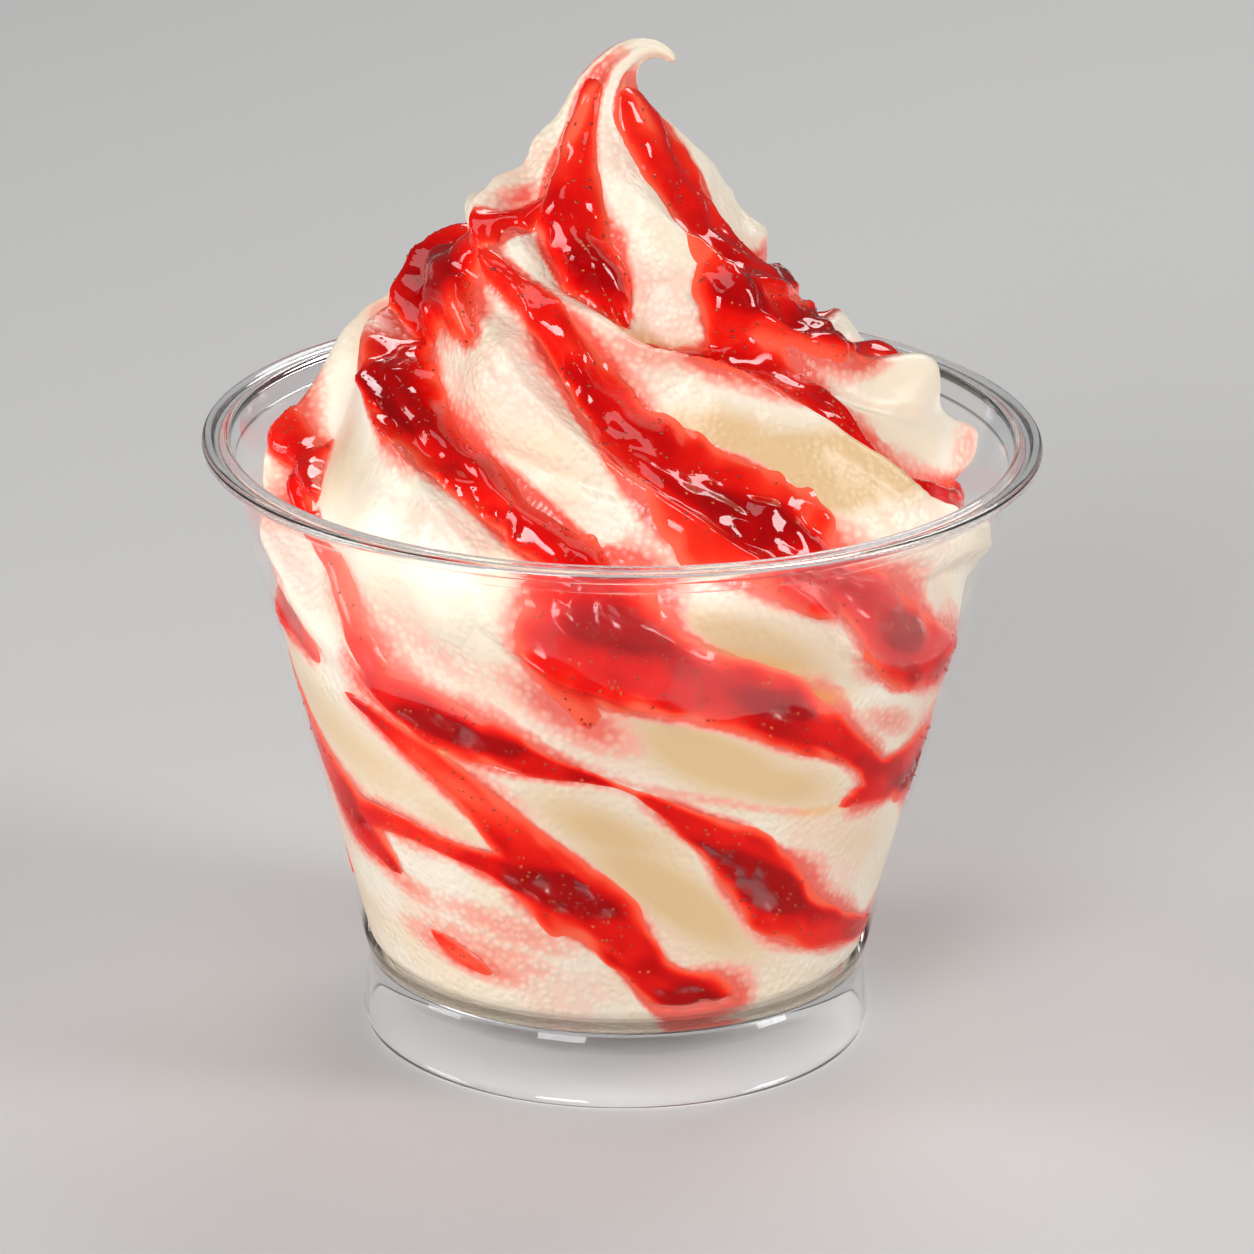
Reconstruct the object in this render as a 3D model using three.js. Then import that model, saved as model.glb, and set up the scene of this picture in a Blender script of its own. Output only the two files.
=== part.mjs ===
// Strawberry sundae: soft serve piped into a twisted, eight-lobed swirl with a curled tip,
// strawberry sauce lying in the valleys between the lobes, in a clear footed cup.
// Millimetres, +Z up, origin at the centre of the foot's underside, front towards -Y.
// Angles are degrees round the axis from the front, growing towards +X.
import * as THREE from "three";

// Clear cup, moulded in one piece: hollow foot, floor, flaring wall, flanged rim.
const CUP_HEIGHT = 72.8;
const RIM_RADIUS = 49;
const FLANGE_THICKNESS = 1.3;
const FLANGE_GUTTER = 0.4;
const BEAD_WIDTH = 1.2;
const LIP_WIDTH = 1.2;
const LIP_ROUND = 0.5;
const COLLAR_HEIGHT = 3.4;
const COLLAR_STEP = 0.4;
const WALL_RIM_RADIUS = 46.7;
const WALL_THICKNESS = 0.93;
const NECK_RADIUS = 29.4;
const NECK_HEIGHT = 8.2;
const NECK_FILLET = 1.6;
const FOOT_RADIUS = 30.15;
const FOOT_THICKNESS = 1.1;
const FOOT_FLAT = 0.6;
const FOOT_WIDEST_HEIGHT = 1.1;
const FOOT_EDGE = 0.3;
const FOOT_BEVEL = 0.7;
const FLOOR_HEIGHT = 10.7;
const FLOOR_THICKNESS = 1.2;
const FLOOR_FILLET = 2;
const UNDERSIDE_FILLET = 1;
const CUP_SEGMENTS = 56;

// Swirl: its crest line from the cup's floor to the tip, measured along the bent axis.
const CLEARANCE = 0.33;
const CONTACT_HEIGHT = 50;
const SHOULDER_RADIUS = 42.7;
const SHOULDER_HEIGHT = 63.5;
const CONE_RADIUS = 36.6;
const CONE_HEIGHT = 76;
const TIP_RADIUS = 7.2;
const TIP_HEIGHT = 110;
const TIP_END_RADIUS = 0.5;
const TIP_END_HEIGHT = 124.5;
const TIP_CAP = 0.4;
const FLOOR_FADE = 6;

// How far the crest line runs straight on each side of its stations: radius and height steps.
const CONTACT_HANDLE = 6;
const SHOULDER_HANDLE = 5;
const CONE_ENTRY = [4, -5];
const CONE_EXIT = [-7, 9.5];
const TIP_ENTRY = [9, -9.5];
const TIP_EXIT = [-3.6, 4];
const TIP_END_ENTRY = [2, -4];

// The axis shifts left up the cone, then curls over to the right at the tip.
const LEAN_SHIFT = -2.2;
const CURL_LENGTH = 14;
const CURL_ANGLE = 140;

// Lobes: eight valleys wind down to the right; only the odd ones run on over the top drop.
const LOBES = 8;
const LOBE_PITCH = 360 / LOBES;
const LOBE_DEPTH = 5.4;
const LOBE_DEPTH_TO_RADIUS = 0.3;
const LOBE_SHARPNESS = 2.2;
const TWIST_PER_MM = 2.4;
const DROP_TWIST_PER_MM = 1.35;
const FRONT_HEIGHT = 80;
const DROP_HEIGHT = 93.7;
const DROP_BLEND_BELOW = 5;
const DROP_BLEND_ABOVE = 6;
const DROP_TURN = -21;
const FLANK_SPREAD = 9;
const SWAY = 12;
const SWAY_LENGTH = 60;
const SWAY_HEIGHTS = [28, 86, 33, 10, 60, 47, 33, 69];
const VALLEY_SHIFTS = [2, 5, -2, -3, 1, 0, -10, 5];
const PRESSED_DEPTH = 0.9;
const PRESSED_BELOW = 2;
const PRESSED_ABOVE = 14;

// Sauce: each valley's pools swell at its own height and thin out between.
const SAUCE_BOTTOM = 15;
const SAUCE_TOP_EVEN = 97.5;
const SAUCE_TOP_ODD = 116;
const SAUCE_REACH = 0.46;
const SAUCE_SWELL = 0.25;
const SAUCE_REACH_IN_CUP = 0.55;
const SAUCE_REACH_ON_CONE = 0.88;
const SAUCE_BED = 0.45;
const SAUCE_CROWN = 0.75;
const SAUCE_LUMP = 0.5;
const SAUCE_SEED = 41;
const SAUCE_MOUND = 1.8;
const SAUCE_MOUND_HEIGHT = 4;
const SAUCE_EDGE = 0.3;
const SAUCE_END_ROWS = 2;
const POOL_SPACING = 26;
const POOL_HEIGHTS = [76, 90, 93, 105, 38, 26, 47, 60];

// The swirl's rows stand closer towards the tip.
const SWIRL_ROWS = 40;
const ROW_CROWDING = 0.22;
const AXIS_STEP = 0.25;
const RAD = Math.PI / 180;
const { clamp, lerp, smoothstep, euclideanModulo, seededRandom } = THREE.MathUtils;

const WALL_SLOPE = (WALL_RIM_RADIUS - NECK_RADIUS) / (CUP_HEIGHT - NECK_HEIGHT);
const wallRadius = (height) => NECK_RADIUS + WALL_SLOPE * (height - NECK_HEIGHT);
const innerRadius = (height) => wallRadius(height) - WALL_THICKNESS;

// The cup's section, from the floor's underside round the foot, wall and rim to its upper side.
function cupProfile() {
  const path = new THREE.Path();
  const underside = FLOOR_HEIGHT - FLOOR_THICKNESS;
  const skirtTop = NECK_RADIUS - FOOT_THICKNESS;
  const beadRadius = FLANGE_THICKNESS / 2;
  const beadCentre = CUP_HEIGHT - beadRadius;
  const flangeBottom = CUP_HEIGHT - FLANGE_THICKNESS;
  const ledge = CUP_HEIGHT - COLLAR_HEIGHT;
  const collar = wallRadius(flangeBottom) + COLLAR_STEP;
  const lip = innerRadius(CUP_HEIGHT);
  const fillet = FLOOR_HEIGHT + FLOOR_FILLET;
  const neckTop = NECK_HEIGHT + NECK_FILLET;
  const neckShare = NECK_FILLET / (NECK_HEIGHT - FOOT_WIDEST_HEIGHT);

  path.moveTo(0, underside);
  path.lineTo(skirtTop - UNDERSIDE_FILLET, underside);
  path.quadraticCurveTo(skirtTop, underside, skirtTop, underside - UNDERSIDE_FILLET);
  path.lineTo(FOOT_RADIUS - FOOT_THICKNESS, FOOT_BEVEL);
  path.lineTo(FOOT_RADIUS - FOOT_EDGE - FOOT_FLAT, 0);
  path.lineTo(FOOT_RADIUS - FOOT_EDGE, 0);
  path.quadraticCurveTo(FOOT_RADIUS, 0, FOOT_RADIUS, FOOT_WIDEST_HEIGHT);
  path.lineTo(lerp(NECK_RADIUS, FOOT_RADIUS, neckShare), NECK_HEIGHT - NECK_FILLET);
  path.quadraticCurveTo(NECK_RADIUS, NECK_HEIGHT, wallRadius(neckTop), neckTop);
  path.lineTo(wallRadius(ledge), ledge);
  path.lineTo(wallRadius(ledge) + COLLAR_STEP, ledge + COLLAR_STEP / 2);
  path.lineTo(collar, flangeBottom);
  path.lineTo(RIM_RADIUS - beadRadius, flangeBottom);
  path.absarc(RIM_RADIUS - beadRadius, beadCentre, beadRadius, -Math.PI / 2, Math.PI / 2, false);
  path.lineTo(RIM_RADIUS - BEAD_WIDTH, CUP_HEIGHT - FLANGE_GUTTER);
  path.lineTo(lip + LIP_WIDTH, CUP_HEIGHT - FLANGE_GUTTER);
  path.quadraticCurveTo(lip + LIP_ROUND, CUP_HEIGHT + FLANGE_GUTTER, lip, CUP_HEIGHT - LIP_ROUND);
  path.lineTo(innerRadius(fillet), fillet);
  path.quadraticCurveTo(innerRadius(FLOOR_HEIGHT), FLOOR_HEIGHT,
    innerRadius(fillet) - FLOOR_FILLET, FLOOR_HEIGHT);
  path.lineTo(0, FLOOR_HEIGHT);
  return path.getPoints(2);
}

function makeCup() {
  const geometry = new THREE.LatheGeometry(cupProfile(), CUP_SEGMENTS);
  geometry.rotateX(Math.PI / 2);
  return geometry;
}

// The swirl's crest line: on the floor, up the wall, over the shoulder, up the cone to the tip.
function crestLine() {
  const path = new THREE.Path();
  const bottom = FLOOR_HEIGHT + CLEARANCE;
  const side = (height) => innerRadius(height) - CLEARANCE;
  const corner = bottom + FLOOR_FILLET;
  const released = CONTACT_HEIGHT + CONTACT_HANDLE;
  const handle = (radius, height, [outward, upward]) => [radius + outward, height + upward];
  path.moveTo(side(corner) - FLOOR_FILLET, bottom);
  path.quadraticCurveTo(side(bottom), bottom, side(corner), corner);
  path.lineTo(side(CONTACT_HEIGHT), CONTACT_HEIGHT);
  path.bezierCurveTo(side(released), released,
    SHOULDER_RADIUS, SHOULDER_HEIGHT - SHOULDER_HANDLE, SHOULDER_RADIUS, SHOULDER_HEIGHT);
  path.bezierCurveTo(SHOULDER_RADIUS, SHOULDER_HEIGHT + SHOULDER_HANDLE,
    ...handle(CONE_RADIUS, CONE_HEIGHT, CONE_ENTRY), CONE_RADIUS, CONE_HEIGHT);
  path.bezierCurveTo(...handle(CONE_RADIUS, CONE_HEIGHT, CONE_EXIT),
    ...handle(TIP_RADIUS, TIP_HEIGHT, TIP_ENTRY), TIP_RADIUS, TIP_HEIGHT);
  path.bezierCurveTo(...handle(TIP_RADIUS, TIP_HEIGHT, TIP_EXIT),
    ...handle(TIP_END_RADIUS, TIP_END_HEIGHT, TIP_END_ENTRY), TIP_END_RADIUS, TIP_END_HEIGHT);
  return path;
}

// 0 on the body of the swirl, 1 on the drop at its top.
const dropTop = DROP_HEIGHT + DROP_BLEND_ABOVE;
const onDrop = (height) => smoothstep(height, DROP_HEIGHT - DROP_BLEND_BELOW, dropTop);

// 0 where the lobes are pressed on the cup's wall, 1 where they stand free of it.
const aboveContact = (height) =>
  smoothstep(height, CONTACT_HEIGHT - PRESSED_BELOW, CONTACT_HEIGHT + PRESSED_ABOVE);

// Only every second valley runs on over the drop.
const carriesOn = (valley) => euclideanModulo(valley, 2) === 1;

// The angle of a valley's bottom at a height.
function valleyAngle(valley, height) {
  const above = Math.max(0, height - dropTop);
  const turn = TWIST_PER_MM * (FRONT_HEIGHT - height) + (TWIST_PER_MM - DROP_TWIST_PER_MM) * above;
  const own = SWAY_HEIGHTS[euclideanModulo(valley, LOBES)];
  const sway = SWAY * Math.cos((2 * Math.PI * (height - own)) / SWAY_LENGTH);
  const start = valley * LOBE_PITCH + VALLEY_SHIFTS[euclideanModulo(valley, LOBES)];
  return start + turn + DROP_TURN * onDrop(height) + sway;
}

// Half the sauce's width in a valley, as a share of the way to the next crest.
function sauceReach(valley, height) {
  const pool = POOL_HEIGHTS[euclideanModulo(valley, LOBES)];
  const swell = Math.cos((2 * Math.PI * (height - pool)) / POOL_SPACING);
  const widest = lerp(SAUCE_REACH_IN_CUP, SAUCE_REACH_ON_CONE, aboveContact(height));
  const reach = Math.min(SAUCE_REACH + SAUCE_SWELL * swell, widest);
  return carriesOn(valley) ? lerp(reach, SAUCE_REACH_ON_CONE, onDrop(height)) : reach;
}

// Depth of the swirl's surface below its crest line at an angle, height and crest radius.
function lobeDepth(angle, height, radius) {
  const offFloor = smoothstep(height, FLOOR_HEIGHT, FLOOR_HEIGHT + FLOOR_FADE);
  const deepest = Math.min(LOBE_DEPTH, LOBE_DEPTH_TO_RADIUS * radius) * offFloor;
  const drop = onDrop(height);
  let depth = 0;
  for (let valley = 0; valley < LOBES; valley++) {
    const centre = valleyAngle(valley, height);
    const apart = euclideanModulo(angle - centre + 180, 360) - 180;
    const toCrest = Math.abs(valleyAngle(valley + (apart < 0 ? -1 : 1), height) - centre) / 2;
    const span = toCrest * (carriesOn(valley) ? 1 + drop : 1);
    const full = carriesOn(valley) ? deepest : deepest * (1 - drop);
    const bed = (SAUCE_BED * sauceReach(valley, height) * toCrest) / span;
    const flank = clamp((1 - Math.abs(apart) / span) / (1 - bed), 0, 1);
    depth += full * Math.pow(flank, LOBE_SHARPNESS);
  }
  return Math.max(0, depth - PRESSED_DEPTH * (1 - aboveContact(height)));
}

// The curled axis of the tip, walked in short steps from the top of the drop.
const CURL_START = TIP_END_HEIGHT - CURL_LENGTH;
const axis = [new THREE.Vector3(LEAN_SHIFT, 0, CURL_START)];
const headings = [0];
for (let walked = AXIS_STEP; walked < CURL_LENGTH + 1; walked += AXIS_STEP) {
  const heading = CURL_ANGLE * RAD * (walked / CURL_LENGTH) ** 2;
  const step = new THREE.Vector3(Math.sin(heading), 0, Math.cos(heading)).multiplyScalar(AXIS_STEP);
  axis.push(axis[axis.length - 1].clone().add(step));
  headings.push(heading);
}

// A point of the swirl, from its angle, its distance from the axis and its height along the axis.
function place(angle, radius, height) {
  const across = radius * Math.sin(angle * RAD);
  const away = -radius * Math.cos(angle * RAD);
  if (height <= CURL_START) {
    const lean = LEAN_SHIFT * smoothstep(height, CONE_HEIGHT, DROP_HEIGHT);
    return new THREE.Vector3(across + lean, away, height);
  }
  const steps = (height - CURL_START) / AXIS_STEP;
  const below = Math.min(Math.floor(steps), axis.length - 2);
  const centre = axis[below].clone().lerp(axis[below + 1], steps - below);
  const heading = lerp(headings[below], headings[below + 1], steps - below);
  return centre.add(new THREE.Vector3(across * Math.cos(heading), away, -across * Math.sin(heading)));
}

// A row of the swirl: one step up the crest line, with the surface's outward direction there.
const crest = crestLine();
const rows = [];
for (let row = 0; row <= SWIRL_ROWS; row++) {
  const along = row / SWIRL_ROWS;
  const share = along * (1 + ROW_CROWDING * (1 - along));
  const point = crest.getPointAt(share);
  const tangent = crest.getTangentAt(share);
  rows.push({ radius: point.x, height: point.y, out: new THREE.Vector2(tangent.y, -tangent.x) });
}

// A point of a row at an angle, a given lift above the ice cream's surface.
function swirlPoint(row, angle, lift) {
  const rise = lift - lobeDepth(angle, row.height, row.radius);
  const spread = angle + FLANK_SPREAD * Math.pow(Math.sin(angle * RAD), 3);
  return place(spread, row.radius + rise * row.out.x, row.height + rise * row.out.y);
}

// The angle at a share of the way from a valley's bottom (0) to the crests beside it (-1 and 1).
function angleAcross(valley, share, height) {
  const centre = valleyAngle(valley, height);
  const next = valleyAngle(valley + Math.sign(share), height);
  return centre + (Math.abs(share) * (next - centre)) / 2;
}

// The angles of a row's points: each valley's bottom, its sauce's edges and the crest after it.
function rowAngles(height) {
  const angles = [];
  for (let valley = 0; valley < LOBES; valley++) {
    const reach = sauceReach(valley, height);
    const mid = (1 + reach) / 2;
    for (const share of [-mid, -reach, -reach / 2, 0, reach / 2, reach, mid, 1]) {
      angles.push(angleAcross(valley, share, height));
    }
  }
  return angles;
}

function solidFrom(points, faces) {
  const geometry = new THREE.BufferGeometry().setFromPoints(points);
  geometry.setIndex(faces);
  geometry.computeVertexNormals();
  return geometry;
}

// The ice cream: rings of points from the floor to the tip, closed by a fan at each end.
function makeIceCream() {
  const rings = rows.map((row) => rowAngles(row.height).map((angle) => swirlPoint(row, angle, 0)));
  const around = rings[0].length;
  const points = rings.flat();
  const faces = [];
  for (let row = 0; row < rings.length - 1; row++) {
    for (let i = 0; i < around; i++) {
      const a = row * around + i;
      const b = row * around + ((i + 1) % around);
      faces.push(a, b, b + around, a, b + around, a + around);
    }
  }
  const base = points.push(new THREE.Vector3(0, 0, rows[0].height)) - 1;
  const tip = points.push(place(0, 0, TIP_END_HEIGHT + TIP_CAP)) - 1;
  const last = (rings.length - 1) * around;
  for (let i = 0; i < around; i++) {
    const next = (i + 1) % around;
    faces.push(base, next, i, tip, last + i, last + next);
  }
  return solidFrom(points, faces);
}

// A ribbon of sauce: a lumpy crowned sheet that fills its valley, clear of the ice cream.
function makeSauce(valley) {
  const top = carriesOn(valley) ? SAUCE_TOP_ODD : SAUCE_TOP_EVEN;
  const covered = rows.filter((row) => row.height > SAUCE_BOTTOM && row.height < top);
  const shares = [-1, -0.5, 0, 0.5, 1];
  const upper = [];
  const lower = [];
  seededRandom(SAUCE_SEED + valley);
  covered.forEach((row, step) => {
    const reach = sauceReach(valley, row.height);
    const level = shares.map((share) => {
      const angle = angleAcross(valley, share * reach, row.height);
      return lobeDepth(angle, row.height, row.radius);
    });
    const brim = Math.max(SAUCE_EDGE, (level[0] + level[4]) / 2);
    const mound = SAUCE_MOUND * Math.exp(-(((row.height - DROP_HEIGHT) / SAUCE_MOUND_HEIGHT) ** 2));
    const ends = Math.min(step, covered.length - 1 - step, SAUCE_END_ROWS) / SAUCE_END_ROWS;
    shares.forEach((share, i) => {
      const angle = angleAcross(valley, share * reach, row.height);
      const lump = SAUCE_LUMP * seededRandom();
      const crown = (1 - share * share) * (SAUCE_CROWN + lump + mound);
      const fill = clamp(level[i] - brim + crown, 0, level[i] - CLEARANCE - SAUCE_EDGE + mound) * ends;
      lower.push(swirlPoint(row, angle, CLEARANCE));
      upper.push(swirlPoint(row, angle, CLEARANCE + SAUCE_EDGE + fill));
    });
  });
  return sheetSolid(upper, lower, shares.length);
}

// A thin solid between two like grids of points, with a narrow wall round its border.
function sheetSolid(upper, lower, columns) {
  const points = [...upper, ...lower];
  const under = upper.length;
  const count = under / columns;
  const faces = [];
  for (let row = 0; row < count - 1; row++) {
    for (let i = 0; i < columns - 1; i++) {
      const a = row * columns + i;
      const [b, c, d] = [a + 1, a + columns + 1, a + columns];
      faces.push(a, b, c, a, c, d);
      faces.push(under + a, under + c, under + b, under + a, under + d, under + c);
    }
  }
  const border = [];
  for (let i = 0; i < columns; i++) border.push(i);
  for (let row = 1; row < count; row++) border.push(row * columns + columns - 1);
  for (let i = columns - 2; i >= 0; i--) border.push((count - 1) * columns + i);
  for (let row = count - 2; row > 0; row--) border.push(row * columns);
  border.forEach((a, i) => {
    const b = border[(i + 1) % border.length];
    faces.push(b, a, under + a, b, under + a, under + b);
  });
  return solidFrom(points, faces);
}

const clearPlastic = new THREE.MeshStandardMaterial({
  color: 0xf4f6f7, roughness: 0.05, metalness: 0, transparent: true, opacity: 0.3,
});
const softServe = new THREE.MeshStandardMaterial({ color: 0xfaeedb, roughness: 0.55, metalness: 0 });
const strawberrySauce = new THREE.MeshStandardMaterial({ color: 0xc4120f, roughness: 0.15, metalness: 0 });

function piece(name, geometry, material) {
  const mesh = new THREE.Mesh(geometry, material);
  mesh.name = name;
  return mesh;
}

const sundae = new THREE.Group();
sundae.add(piece("cup", makeCup(), clearPlastic));
sundae.add(piece("ice_cream", makeIceCream(), softServe));
for (let valley = 0; valley < LOBES; valley++) {
  sundae.add(piece(`sauce_ribbon_${valley + 1}`, makeSauce(valley), strawberrySauce));
}

export default sundae;
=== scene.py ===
import math

import bpy
import numpy as np
from mathutils import Matrix, Vector


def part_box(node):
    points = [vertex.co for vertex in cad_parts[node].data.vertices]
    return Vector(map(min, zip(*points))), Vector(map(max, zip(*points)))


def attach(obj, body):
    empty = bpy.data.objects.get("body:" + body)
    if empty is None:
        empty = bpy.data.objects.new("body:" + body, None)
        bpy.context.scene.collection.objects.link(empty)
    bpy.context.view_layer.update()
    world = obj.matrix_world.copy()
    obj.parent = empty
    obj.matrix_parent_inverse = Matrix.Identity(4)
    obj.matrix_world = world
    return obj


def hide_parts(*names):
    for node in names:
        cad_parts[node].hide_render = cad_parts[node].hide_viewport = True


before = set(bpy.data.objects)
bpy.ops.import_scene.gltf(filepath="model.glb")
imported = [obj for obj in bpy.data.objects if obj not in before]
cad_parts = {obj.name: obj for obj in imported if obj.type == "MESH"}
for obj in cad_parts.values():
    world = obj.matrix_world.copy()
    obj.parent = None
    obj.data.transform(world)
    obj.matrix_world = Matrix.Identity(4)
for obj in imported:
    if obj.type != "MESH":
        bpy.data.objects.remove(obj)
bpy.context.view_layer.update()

# Clear cup: one shot of clear plastic with a hollow foot, a floor, a flared wall, a small ledge under
# the rim and a beaded flange. Its section is drawn corner by corner, rounded, and spun round the axis.
MM = 0.001
RIM_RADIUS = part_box("cup")[1].x / MM
CUP_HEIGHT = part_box("cup")[1].z / MM
FLANGE_THICKNESS = 1.3
FLANGE_GUTTER = 0.4
BEAD_WIDTH = 1.1
LIP_WIDTH = 1.1
LEDGE_DROP = 3.4
LEDGE_STEP = 0.4
WALL_RIM_RADIUS = 46.7
WALL_THICKNESS = 0.93
NECK_RADIUS = 29.4
NECK_HEIGHT = 8.2
FOOT_RADIUS = 30.15
FOOT_THICKNESS = 1.1
FOOT_FLAT = 0.6
FOOT_INSET = 0.3
FOOT_LIFT = 0.7
FOOT_BEVEL = 1.1
FLOOR_HEIGHT = 10.7
FLOOR_THICKNESS = 1.2
FLOOR_FILLET = 2.0
WALL_BODY = 0.12
RIM_FADE = 0.5
FOOT_FADE = (-1, 2)
CUP_STEPS = 144
ROUNDING_STEPS = 4
SMOOTH_ANGLE = 35
WELD = 0.001 * MM
WALL_SLOPE = (WALL_RIM_RADIUS - NECK_RADIUS) / (CUP_HEIGHT - NECK_HEIGHT)


def wall_outside(height):
    """The wall's outer radius at a height."""
    return NECK_RADIUS + WALL_SLOPE * (height - NECK_HEIGHT)


def wall_inside(height):
    """The wall's inner radius at a height."""
    return wall_outside(height) - WALL_THICKNESS


def cup_corners():
    """The section's corners from the floor's underside round to its top: radius, height and rounding."""
    underside = FLOOR_HEIGHT - FLOOR_THICKNESS
    flange_bottom = CUP_HEIGHT - FLANGE_THICKNESS
    gutter = CUP_HEIGHT - FLANGE_GUTTER
    ledge = CUP_HEIGHT - LEDGE_DROP
    lip = wall_inside(CUP_HEIGHT)
    return (
        (0, underside, 0),
        (NECK_RADIUS - FOOT_THICKNESS, underside, 1.0),
        (FOOT_RADIUS - FOOT_THICKNESS, FOOT_LIFT, 0.2),
        (FOOT_RADIUS - FOOT_INSET - FOOT_FLAT, 0, 0.1),
        (FOOT_RADIUS - FOOT_INSET, 0, 0.1),
        (FOOT_RADIUS, FOOT_BEVEL, 0.5),
        (NECK_RADIUS, NECK_HEIGHT, 1.6),
        (wall_outside(ledge), ledge, 0.1),
        (wall_outside(ledge) + LEDGE_STEP, ledge + LEDGE_STEP / 2, 0.1),
        (wall_outside(flange_bottom) + LEDGE_STEP, flange_bottom, 0.3),
        (RIM_RADIUS, flange_bottom, 0.5),
        (RIM_RADIUS, CUP_HEIGHT, 0.5),
        (RIM_RADIUS - BEAD_WIDTH, CUP_HEIGHT, 0.3),
        (RIM_RADIUS - BEAD_WIDTH - FLANGE_GUTTER, gutter, 0.2),
        (lip + LIP_WIDTH, gutter, 0.2),
        (lip + LIP_WIDTH - FLANGE_GUTTER, CUP_HEIGHT, 0.2),
        (lip, CUP_HEIGHT, 0.35),
        (wall_inside(FLOOR_HEIGHT), FLOOR_HEIGHT, FLOOR_FILLET),
        (0, FLOOR_HEIGHT, 0),
    )


def select_vertices(mesh, wanted):
    """Selects, in edit mode, the vertices whose place passes the test."""
    bpy.ops.mesh.select_all(action="DESELECT")
    bpy.ops.object.mode_set(mode="OBJECT")
    for vertex in mesh.vertices:
        vertex.select = wanted(vertex.co)
    bpy.ops.object.mode_set(mode="EDIT")


def spin_from_section(name, corners, steps):
    """Draws a section by extruding one corner after another, rounds its corners and spins it."""
    bpy.ops.object.select_all(action="DESELECT")
    bpy.ops.mesh.primitive_plane_add(size=MM, location=(0, 0, 0))
    piece = bpy.context.object
    piece.name = piece.data.name = name
    bpy.ops.object.mode_set(mode="EDIT")
    bpy.ops.mesh.select_mode(type="VERT")
    bpy.ops.mesh.merge(type="CENTER")
    here = Vector((0, 0, 0))
    for number, (radius, height, _) in enumerate(corners):
        corner = Vector((radius, 0, height)) * MM
        if number == 0:
            bpy.ops.transform.translate(value=corner - here)
        else:
            bpy.ops.mesh.extrude_region_move(TRANSFORM_OT_translate={"value": corner - here})
        here = corner
    for radius, height, rounding in corners:
        if rounding:
            corner = Vector((radius, 0, height)) * MM
            select_vertices(piece.data, lambda place: (place - corner).length < WELD)
            bpy.ops.mesh.bevel(offset=rounding * MM, segments=ROUNDING_STEPS, affect="VERTICES")
    bpy.ops.mesh.select_all(action="SELECT")
    bpy.ops.mesh.spin(steps=steps, angle=2 * math.pi, center=(0, 0, 0), axis=(0, 0, 1))
    bpy.ops.mesh.select_all(action="SELECT")
    bpy.ops.mesh.remove_doubles(threshold=WELD)
    bpy.ops.mesh.normals_make_consistent(inside=False)
    bpy.ops.object.mode_set(mode="OBJECT")
    bpy.ops.object.shade_smooth_by_angle(angle=math.radians(SMOOTH_ANGLE))
    return piece


class Dye:
    """A socket of a material's nodes, so that shader maths reads as an expression."""

    def __init__(self, tree, socket=None):
        self.tree = tree
        self.socket = socket

    def node(self, kind, settings, inputs, output=0):
        made = self.tree.nodes.new(kind)
        for name, value in settings.items():
            if name == "stops":
                ramp = made.color_ramp.elements
                for place, _ in value[2:]:
                    ramp.new(place)
                for stop, (place, shade) in zip(ramp, value):
                    stop.position = place
                    stop.color = (*shade, 1)
            else:
                setattr(made, name, value)
        for name, value in inputs.items():
            if isinstance(value, Dye):
                self.tree.links.new(value.socket, made.inputs[name])
            else:
                made.inputs[name].default_value = value
        return Dye(self.tree, made.outputs[output])

    def maths(self, operation, first, second):
        return self.node("ShaderNodeMath", {"operation": operation}, {0: first, 1: second})

    def __add__(self, other):
        return self.maths("ADD", self, other)

    def __radd__(self, other):
        return self.maths("ADD", other, self)

    def __sub__(self, other):
        return self.maths("SUBTRACT", self, other)

    def __rsub__(self, other):
        return self.maths("SUBTRACT", other, self)

    def __mul__(self, other):
        return self.maths("MULTIPLY", self, other)

    def __rmul__(self, other):
        return self.maths("MULTIPLY", other, self)

    def between(self, low, high):
        """0 below low, 1 above high, with a smooth step between."""
        settings = {"interpolation_type": "SMOOTHSTEP", "clamp": True}
        inputs = {"Value": self, "From Min": low, "From Max": high}
        return self.node("ShaderNodeMapRange", settings, inputs)

    def tint(self, first, second):
        """The first colour where this value is 0, the second where it is 1."""
        settings = {"data_type": "RGBA"}
        return self.node("ShaderNodeMix", settings, {"Factor": self, "A": first, "B": second}, "Result")


def colour(red, green, blue):
    """An opaque colour as a shader's socket takes it."""
    return (red, green, blue, 1)


def new_material(name):
    """A material with an empty node tree: its tree, and the socket that takes its surface."""
    material = bpy.data.materials.new(name)
    material.use_nodes = True
    tree = material.node_tree
    tree.nodes.clear()
    surface = tree.nodes.new("ShaderNodeOutputMaterial").inputs["Surface"]
    return material, tree, surface


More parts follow.
